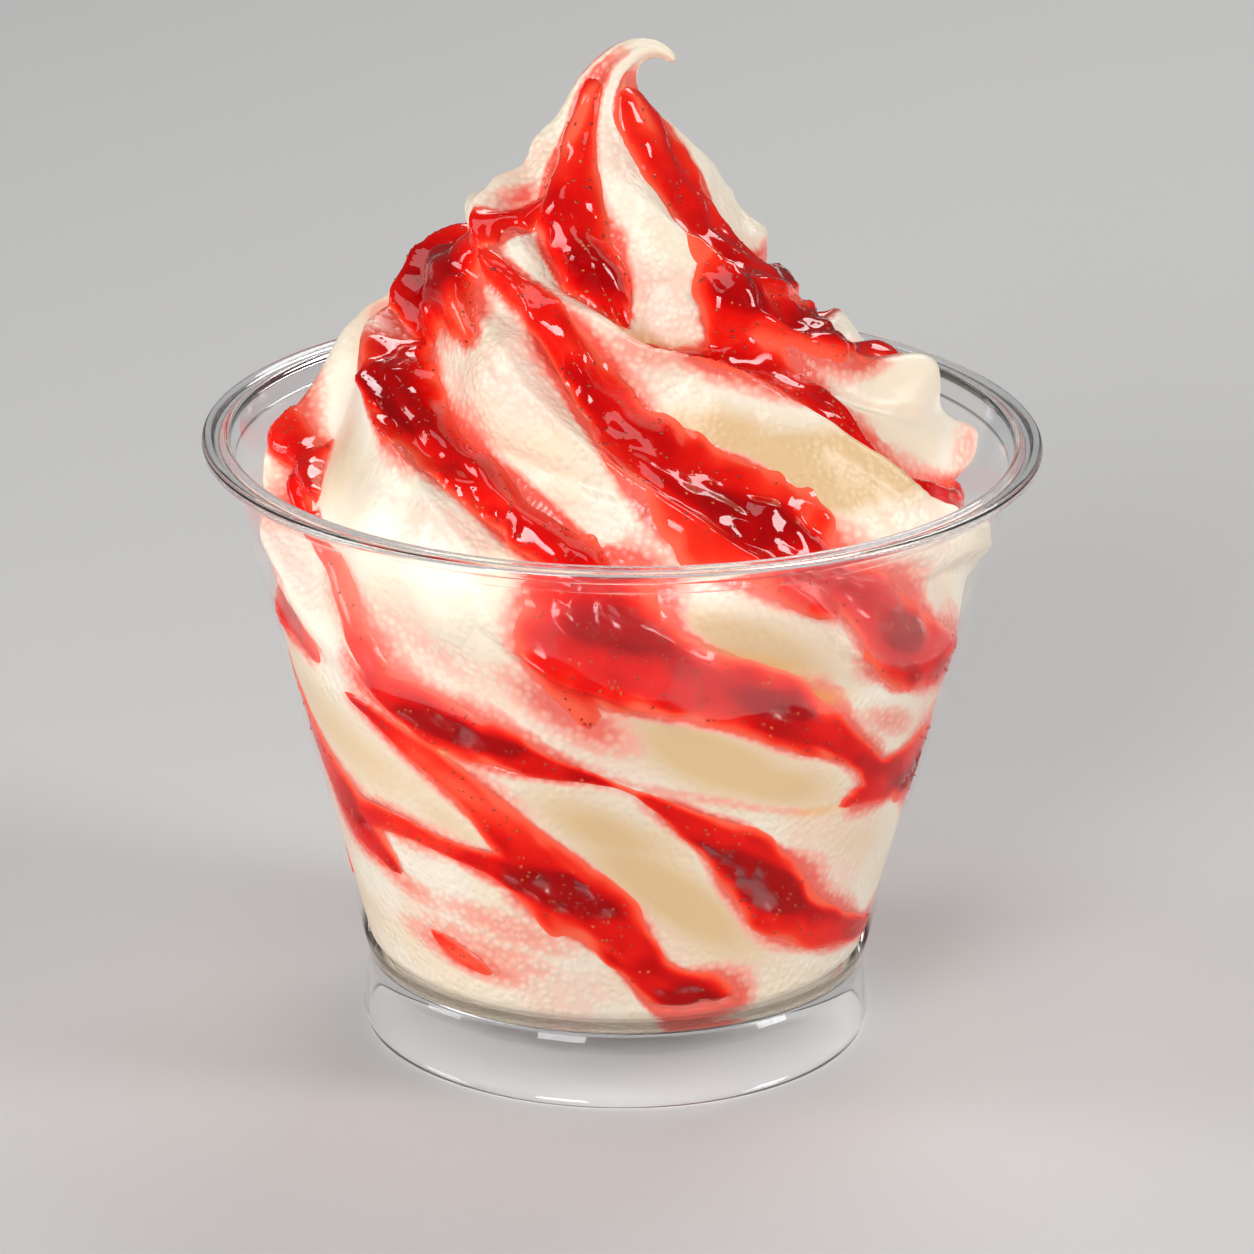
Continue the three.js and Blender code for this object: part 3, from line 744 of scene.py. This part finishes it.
stain_reach = np.where(past_edge > 0, STAIN_RIGHT, STAIN_LEFT) * (1 - STAIN_DRY * on_drop(swirl_height))
stain_waves = (1 + STAIN_WAVE * waves(smooth_points, length=16, seed=8)).clip(LEAST_STAIN)
stain_reach = stain_reach * stain_waves * (1 - STAIN_DRY * smooth_and_shaded)
stain = np.where(sauce_share < 1, 1, np.exp(-(np.abs(past_edge) / stain_reach) ** STAIN_FALL))
stain = stain * smooth(sauce_half, *STAIN_HALVES)
blush = BLUSH * smooth(waves(smooth_points, length=22, seed=10), *BLUSH_WAVES)
blush = blush * (1 - np.maximum(smooth_and_shaded, slick))
film = patches(swirl_angles, swirl_height, SAUCE_FILMS)
fold_lines = FOLD_STAIN * (1 - free) * fold_depth(swirl_angles, swirl_rows) / FOLD_DEPTH
stain = np.maximum.reduce([stain, blush, film, fold_lines]) * (1 - smooth(swirl_height, *STAIN_TOP))
# Painted glow: amber where light would shine through thin sauce in creases.
amber = patches(swirl_angles, swirl_height, AMBER_GLOW_CREASES)


IN_CUP_FADE = (58, 66)


def soft_serve():
    """Frozen cream: ivory, softly matt with fine pebbled wrinkles, stained pink where sauce thins out,
    with tan painted shade on smoother lobes and a painted amber glow in creases.
    """
    material, tree, surface = new_material("soft serve")
    dye = Dye(tree)
    place_on = dye.node("ShaderNodeTexCoord", {}, {}, "Object")
    stained = dye.node("ShaderNodeAttribute", {"attribute_name": "stain"}, {}, "Fac")
    tan_shade_mask = dye.node("ShaderNodeAttribute", {"attribute_name": "pressed"}, {}, "Fac")
    slickness = dye.node("ShaderNodeAttribute", {"attribute_name": "slick"}, {}, "Fac")
    glow = dye.node("ShaderNodeAttribute", {"attribute_name": "amber"}, {}, "Fac")
    cloudy = dye.node("ShaderNodeTexNoise", {}, {"Vector": place_on, "Scale": 90.0, "Detail": 3.0}, "Fac")
    height = dye.node("ShaderNodeSeparateXYZ", {}, {"Vector": place_on}, "Z")
    in_cup = 1 - height.between(IN_CUP_FADE[0] * MM, IN_CUP_FADE[1] * MM)
    pebbles = dye.node("ShaderNodeTexVoronoi", {"feature": "F1"}, {
        "Vector": place_on, "Scale": 950.0}, "Distance")
    crackle = 1 - pebbles.between(0.1, 0.75)
    ivory = cloudy.between(0.35, 0.68).tint(colour(0.88, 0.79, 0.655), colour(0.87, 0.735, 0.55))
    # Tan tint: partly the yellower cream's own colour, partly painted shade.
    yellow_and_tan_shade = tan_shade_mask.tint(ivory, colour(0.74, 0.505, 0.265))
    fleck = 0.18 - 0.26 * crackle
    strength = stained + fleck * stained.between(0.05, 0.3)
    pink = strength.between(0.0, 0.55).tint(yellow_and_tan_shade, colour(0.92, 0.42, 0.32))
    blushed = strength.between(0.45, 1.0).tint(pink, colour(0.85, 0.12, 0.08))
    # Painted glow in creases, amber over the cream's colour.
    shade = (glow * 0.8).tint(blushed, colour(0.88, 0.40, 0.06))
    pebbled = crackle * (1 - 0.9 * tan_shade_mask * in_cup) * (1 - 0.85 * slickness)
    wrinkles = dye.node("ShaderNodeBump", {}, {"Height": pebbled, "Distance": 0.0003, "Strength": 0.4})
    cream = dye.node("ShaderNodeBsdfPrincipled", {}, {
        "Base Color": shade,
        "Roughness": 0.45 - 0.2 * stained,
        "Coat Weight": 0.3,
        "Coat Roughness": 0.25,
        "Normal": wrinkles,
    })
    tree.links.new(cream.socket, surface)
    return material


def closed_rings(points, around, bottom, top):
    """Rings closed by a fan of faces at both ends: all points, and all faces."""
    count = len(points)
    first_of_last = count - around
    faces = ring_faces(count // around, around).tolist()
    for first in range(around):
        following = (first + 1) % around
        faces.append([count, following, first])
        faces.append([count + 1, first_of_last + first, first_of_last + following])
    return np.concatenate([points, [bottom, top]]), faces


tip_top = place(np.zeros(1), np.zeros(1), np.full(1, TIP_END[1] + TIP_CAP))[0]
cream_mesh = closed_rings(cream_points.reshape(-1, 3), SWIRL_AROUND, (0, 0, swirl_height[0, 0]), tip_top)
ice_cream = mesh_piece(
    "soft_serve_swirl", *cream_mesh,
    stain=np.append(stain.ravel(), [0, 0]),
    pressed=np.append(smooth_and_shaded.ravel(), [0, 0]),
    slick=np.append(slick.ravel(), [0, 0]),
    amber=np.append(amber.ravel(), [0, 0]))
ice_cream.data.materials.append(soft_serve())
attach(ice_cream, "root")
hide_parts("ice_cream")

# Strawberry sauce: a wet, glossy fruit sauce poured over the swirl. It runs down the valleys between
# the lobes and lies in them as lumpy ribbons, deep red where it is thick and orange-red where it thins.
SAUCE_CROWN = 0.8
SAUCE_FILL = 0.42
SAUCE_SKIN = 0.15
LEAST_SAUCE = 0.4
MOST_RISE = 4
PRESSED_CROWN = 0.5
SAUCE_UNDER = 0.7
SAUCE_SPARE = 1.5
SAUCE_RIM = -0.05
SAUCE_TOP = (114.5, 119)
SAUCE_BOTTOM = (1.3, 2.8)
BARE_END = 4
BARE_TOP = 3
BARE_BOTTOM = 1.2
SAUCE_HALVES = (0.4, 0.9)
WAVY_HALVES = (0.8, 2.5)
FULL_HALF = 3
EDGE_WAVE = 0.10
EDGE_RIPPLE = 0.05
GEL_WAVE = 0.25
GEL_RIPPLE = 0.12
JAM_LUMP = 0.5
LARGE_LUMPS = 0.85
SMALL_LUMPS = 0.12
LUMP_SINK = 0.7
SCATTERED_JAM = 0.3
JAM_DENT = 1.2
LARGE_DENTS = 0.7
SMALL_DENTS = 0.6
WET_TILT = (0.12, 0.4)
# Jam that heaps up: angle, height, half width in degrees, half height, slant in degrees a millimetre,
# and thickness.
JAM_HEAPS = (
    (-82, 94.8, 42, 6.2, 0, 1.8),
    (-55, 101, 10, 4.6, -1.0, 0.5),
    (72, 88.5, 24, 5.0, -1.5, 1.3),
    (44, 94.3, 14, 4.4, -1.0, 1.6),
    (-6, 99.3, 17, 3.6, -3.0, 1.0),
    (-55, 83, 20, 4.0, -3.5, 1.2),
    (24, 75, 14, 5.5, -2.4, 1.2),
    (0, 63, 12, 5.5, -1.2, 1.2),
    (50, 57, 7, 4.5, -0.8, 1.5),
    (-27, 48.5, 13, 3.0, -4.0, 0.9),
    (27, 29, 11, 9.0, -1.9, 1.0),
    (-10, 28.5, 15, 5.0, -1.5, 1.0),
    (28, 52.5, 11, 4.0, -3.0, 0.8),
    (-56, 31, 12, 4.0, -1.8, 0.3),
    (72, 34, 18, 5.0, -3.0, 0.8),
    (16, 13.5, 12, 3.0, -2.0, 0.7),
    (-92, 82, 9, 2.6, -1.0, 1.0),
    (86, 91, 26, 5.5, -0.6, 0.9),
    (150, 88, 30, 5.0, -2.0, 1.6),
    (-130, 70, 20, 6.0, -2.4, 1.4),
)
# Where the stream itself thins to a film: angle, height, half width, half height, slant and how much.
THIN_SAUCE = (
    (-28, 41, 13, 9, -1.9, 0.9), (-8, 54, 10, 8, -1.5, 1.1), (35, 88, 18, 3.5, -4, 0.3),
    (-38, 112, 24, 8, 0, 1.2), (56, 113, 24, 7, 0, 1.0), (-44, 92, 10, 4, -2, 0.9),
    (12, 70, 8, 5, -2, 0.6), (45, 19, 12, 4, -3, 0.4), (-80, 22, 16, 4, 0, 0.6),
    (-52, 60, 14, 11, -1.6, 0.9), (85, 46, 14, 4, -3, 0.3), (-12, 92, 10, 4, -3, 0.4),
    (-16, 76, 12, 3, -3.5, 0.4), (-38, 32.6, 12, 3.5, 0, 0.6), (-33, 17, 12, 4, -3, 0.9),
)

edge_wave = EDGE_WAVE * waves(smooth_points, length=9, seed=27)
edge_wave += EDGE_RIPPLE * waves(smooth_points, length=4, seed=28)
inside = np.clip(1 - (sauce_share + edge_wave * smooth(sauce_half, *WAVY_HALVES)) ** 2, -1, 1)
inside -= 2 * (1 - smooth(sauce_half, *SAUCE_HALVES))
narrow = smooth(sauce_half, 0, FULL_HALF)
heap = patches(swirl_angles, swirl_height, JAM_HEAPS) * smooth(inside, 0.0, 0.6)
thin = np.minimum(patches(swirl_angles, swirl_height, THIN_SAUCE), 1)
scattered_jam = SCATTERED_JAM * smooth(waves(smooth_points, length=13, seed=24), 0.3, 1.5)
jam = np.clip(smooth(heap, 0, 0.8) + scattered_jam, 0, 1)
lumps = LARGE_LUMPS * np.abs(waves(smooth_points, length=7, seed=21))
lumps += SMALL_LUMPS * np.abs(waves(smooth_points, length=3, seed=22))
lumps -= LUMP_SINK
gel = waves(smooth_points, length=10, seed=25) + GEL_RIPPLE * waves(smooth_points, length=4, seed=26)
on_swirl = inside * (SAUCE_CROWN * narrow + SAUCE_FILL * lobe_depth.clip(0) * narrow * free + SAUCE_SKIN)
on_swirl += heap + smooth(on_swirl, 0.1, 1.2) * (GEL_WAVE * gel + JAM_LUMP * jam * lumps)
least = LEAST_SAUCE * smooth(inside, 0, 0.3)
on_swirl = np.where(inside > 0, np.maximum(on_swirl, least), on_swirl)
*bare_oval, _ = LOBE_ENDS[0]
bare_end = 1 - smooth(patch_way(swirl_angles, swirl_height, *bare_oval), 0.5, 1.0)
on_swirl -= BARE_END * bare_end + BARE_TOP * smooth(swirl_height, *SAUCE_TOP)
sauce_lift = free * on_swirl + (1 - free) * (sauce_bed + PRESSED_CROWN * inside)
bottom_from, bottom_to = (FLOOR_HEIGHT + above for above in SAUCE_BOTTOM)
sauce_lift -= BARE_BOTTOM * (1 - smooth(swirl_height, bottom_from, bottom_to))
sauce_lift = np.maximum(sauce_lift, -SAUCE_UNDER)
sauce_rise = np.minimum(cream_rise + sauce_lift, WALL_BITE * (1 - free) + MOST_RISE * free)
bubbles = LARGE_DENTS * waves(smooth_points, length=3.8, seed=29)
bubbles += SMALL_DENTS * waves(smooth_points, length=2.2, seed=31)
dents = smooth(bubbles, 0.3, 1.5) * smooth(heap, 0.1, 0.5) * smooth(inside, 0.3, 0.8)
sauce_rise -= (1 - free) * JAM_DENT * dents
thickness = np.maximum(sauce_rise - cream_rise, 0)

# How deep the red is: 0 where the sauce is a film, 1 where it is thick.
pulpy = smooth(waves(smooth_points, length=6, seed=30), -0.6, 1.6)
tone_on_swirl = 0.4 * smooth(inside, 0.05, 0.6)
tone_on_swirl += (0.24 + 0.14 * pulpy + 0.3 * jam) * smooth(thickness, 0.4, 3.0)
tone_in_cup = smooth(inside, 0, 0.75) * (0.54 + 0.3 * pulpy + 0.45 * smooth(heap, 0.05, 0.5))
tone = (free * tone_on_swirl + (1 - free) * tone_in_cup) * (1 - thin)


def sauce_sheet(name, upper, lower, kept, **shades):
    """A closed skin between two grids of points, with walls where the kept faces end."""
    grid = ring_faces(SWIRL_ROWS, SWIRL_AROUND)
    top = grid[kept.ravel()[grid].any(axis=1)]
    edges = np.concatenate([top[:, [a, (a + 1) % 4]] for a in range(4)])
    total = SWIRL_ROWS * SWIRL_AROUND
    there = edges[:, 0] * total + edges[:, 1]
    back = edges[:, 1] * total + edges[:, 0]
    border = edges[~np.isin(there, back)]
    walls = np.stack([border[:, 1], border[:, 0], border[:, 0] + total, border[:, 1] + total], axis=-1)
    faces = np.concatenate([top, top[:, ::-1] + total, walls])
    used, faces = np.unique(faces, return_inverse=True)
    points = np.concatenate([upper.reshape(-1, 3), lower.reshape(-1, 3)])[used]
    taken = {shade: np.tile(values.ravel(), 2)[used] for shade, values in shades.items()}
    return mesh_piece(name, points, faces.reshape(-1, 4).tolist(), **taken)


def strawberry_sauce():
    """Wet fruit sauce: clear red over cream, with a hard gloss broken up by pulp."""
    material, tree, surface = new_material("strawberry sauce")
    dye = Dye(tree)
    place_on = dye.node("ShaderNodeTexCoord", {}, {}, "Object")
    in_open_air = dye.node("ShaderNodeAttribute", {"attribute_name": "wet"}, {}, "Fac")
    depth_tone = dye.node("ShaderNodeAttribute", {"attribute_name": "tone"}, {}, "Fac")
    pulp = dye.node("ShaderNodeTexNoise", {}, {
        "Vector": place_on, "Scale": 260.0, "Detail": 3.0, "Roughness": 0.55}, "Fac")
    red = dye.node("ShaderNodeValToRGB", {"stops": (
        (0.0, (0.97, 0.125, 0.065)),
        (0.22, (0.92, 0.036, 0.014)),
        (0.5, (0.78, 0.007, 0.004)),
        (0.75, (0.57, 0.002, 0.002)),
        (1.0, (0.36, 0.001, 0.002)),
    )}, {"Fac": depth_tone + 0.5 * depth_tone.between(0.0, 0.4) * (pulp - 0.5)}, "Color")
    ripple = dye.node("ShaderNodeBump", {}, {"Height": pulp, "Distance": 0.0005, "Strength": 0.12})
    sauce_coat = dye.node("ShaderNodeBsdfPrincipled", {}, {
        "Base Color": red,
        "Roughness": 0.12,
        "IOR": 1.15,
        "Coat Weight": in_open_air,
        "Coat Roughness": 0.03,
        "Normal": ripple,
    })
    tree.links.new(sauce_coat.socket, surface)
    return material


sauce_top = swirl_points(swirl_angles, swirl_rows, sauce_rise)
along_ring = np.roll(sauce_top, -1, axis=1) - np.roll(sauce_top, 1, axis=1)
up_swirl = np.gradient(sauce_top, axis=0)
outward = np.cross(along_ring, up_swirl)
wet = smooth(outward[..., 2] / np.linalg.norm(outward, axis=-1), *WET_TILT)
sauce_under = swirl_points(swirl_angles, swirl_rows, cream_rise - SAUCE_SPARE * SAUCE_UNDER)
sauce = sauce_sheet("sauce_ribbons", sauce_top, sauce_under, sauce_lift > SAUCE_RIM, tone=tone, wet=wet)
sauce.data.materials.append(strawberry_sauce())
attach(sauce, "root")
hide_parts(*(f"sauce_ribbon_{valley + 1}" for valley in range(LOBES)))

# Strawberry seeds: small hard pips, flat ovals that lie scattered in the sauce's skin. One pip is
# shaped from a ball, and all of them are copies of it in one mesh.
SEED_COUNT = 2200
SEED_HALF = (0.25, 0.17, 0.12)
SEED_SINK = 0.03
SEED_BED = 0.35
SEED_SPREAD = (0.75, 1.25)
SEED_DRAW = 77


def seed_shape():
    """One seed's points and faces, lying flat at the origin."""
    bpy.ops.object.select_all(action="DESELECT")
    bpy.ops.mesh.primitive_ico_sphere_add(subdivisions=1, radius=1, location=(0, 0, 0))
    ball = bpy.context.object
    bpy.ops.object.mode_set(mode="EDIT")
    bpy.ops.mesh.select_all(action="SELECT")
    bpy.ops.transform.resize(value=SEED_HALF)
    bpy.ops.object.mode_set(mode="OBJECT")
    points = np.array([vertex.co[:] for vertex in ball.data.vertices])
    faces = np.array([face.vertices[:] for face in ball.data.polygons])
    bpy.data.meshes.remove(ball.data)
    return points, faces


def strewn_seeds(count):
    """Seeds strewn over the sauce, each turned at random in its skin."""
    draw = np.random.default_rng(SEED_DRAW)
    shape, shape_faces = seed_shape()
    room = np.linalg.norm(outward, axis=-1) * (thickness > SEED_BED)
    spots = draw.choice(room.size, count, replace=False, p=room.ravel() / room.sum())
    spots = np.stack(np.unravel_index(spots, room.shape), axis=-1)
    points, faces = [], []
    for number, (row, column) in enumerate(spots):
        side = along_ring[row, column] / np.linalg.norm(along_ring[row, column])
        out = outward[row, column] / np.linalg.norm(outward[row, column])
        turn = draw.uniform(0, np.pi)
        first = side * math.cos(turn) + np.cross(out, side) * math.sin(turn)
        frame_axes = np.stack([first, np.cross(out, first), out])
        size = draw.uniform(*SEED_SPREAD)
        points.append(sauce_top[row, column] - SEED_SINK * out + size * shape @ frame_axes)
        faces.append(shape_faces + number * len(shape))
    return np.concatenate(points), np.concatenate(faces).tolist()


def seed_husk():
    """A seed's husk: dark red-brown, some paler, wet with sauce."""
    material, tree, surface = new_material("seed husk")
    dye = Dye(tree)
    place_on = dye.node("ShaderNodeTexCoord", {}, {}, "Object")
    mottle = dye.node("ShaderNodeTexNoise", {}, {
        "Vector": place_on, "Scale": 240.0, "Detail": 1.0}, "Fac")
    dark, pale = colour(0.30, 0.012, 0.006), colour(0.62, 0.13, 0.02)
    husk = dye.node("ShaderNodeBsdfPrincipled", {}, {
        "Base Color": mottle.between(0.4, 0.72).tint(dark, pale),
        "Roughness": 0.25,
    })
    tree.links.new(husk.socket, surface)
    return material


seeds = mesh_piece("sauce_seeds", *strewn_seeds(SEED_COUNT))
seeds.data.materials.append(seed_husk())
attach(seeds, "root")

# Floor: a plain pale sweep that the cup stands on.
FLOOR_SIZE = 6.0
FLOOR_DROP = 0.0001

bpy.ops.object.select_all(action="DESELECT")
bpy.ops.mesh.primitive_plane_add(size=FLOOR_SIZE, location=(0, 0, -FLOOR_DROP))
floor = bpy.context.object
floor.name = floor.data.name = "floor"
floor_material, floor_tree, floor_surface = new_material("pale floor")
floor_paint = Dye(floor_tree).node("ShaderNodeBsdfDiffuse", {}, {"Color": colour(0.60, 0.595, 0.59)})
floor_tree.links.new(floor_paint.socket, floor_surface)
floor.data.materials.append(floor_material)

# Light: a soft box at the front left, weaker ones at the right, behind, above and at the left, and a
# dim even room.
AIM = Vector((0, 0, 0.06))
ROOM_STRENGTH = 0.06


def soft_box(name, location, width, height, power):
    """A rectangular lamp that faces the sundae."""
    light = bpy.data.lights.new(name, "AREA")
    light.shape = "RECTANGLE"
    light.size = width
    light.size_y = height
    light.energy = power
    lamp = bpy.data.objects.new(name, light)
    lamp.location = location
    lamp.rotation_euler = (AIM - Vector(location)).to_track_quat("-Z", "Y").to_euler()
    bpy.context.scene.collection.objects.link(lamp)


soft_box("key light", (-0.36, -0.80, 0.36), width=0.36, height=0.40, power=5.9)
soft_box("side light", (0.78, -0.20, 0.36), width=0.25, height=0.50, power=4.4)
soft_box("back light", (0.25, 0.60, 0.65), width=0.60, height=0.30, power=3.2)
soft_box("top light", (-0.05, -0.15, 0.95), width=0.40, height=0.40, power=1.0)
soft_box("left light", (-0.80, -0.08, 0.36), width=0.30, height=0.45, power=2.8)

world = bpy.data.worlds.new("soft room")
world.use_nodes = True
background = world.node_tree.nodes["Background"].inputs
background["Color"].default_value = colour(1.0, 0.98, 0.96)
background["Strength"].default_value = ROOM_STRENGTH
bpy.context.scene.world = world
bpy.context.scene.view_settings.view_transform = "Standard"

# Camera: a long lens a little above the rim, looking down at about twenty degrees.
CAMERA_PITCH = math.radians(20.21)
CAMERA_ROLL = math.radians(0.72)
CAMERA_DISTANCE = 0.8628
CAMERA_LENS = 210.4
CAMERA_SENSOR = 36
CAMERA_AIM = Vector((0.000824, 0, 0.04867))

camera = bpy.data.cameras.new("camera")
camera.lens = CAMERA_LENS
camera.sensor_width = CAMERA_SENSOR
viewer = bpy.data.objects.new("camera", camera)
back_to_camera = Vector((0, -math.cos(CAMERA_PITCH), math.sin(CAMERA_PITCH)))
level_view = back_to_camera.to_track_quat("Z", "Y").to_matrix().to_4x4()
rolled_view = Matrix.Rotation(CAMERA_ROLL, 4, back_to_camera) @ level_view
viewer.matrix_world = Matrix.Translation(CAMERA_AIM + back_to_camera * CAMERA_DISTANCE) @ rolled_view
bpy.context.scene.collection.objects.link(viewer)
bpy.context.scene.camera = viewer
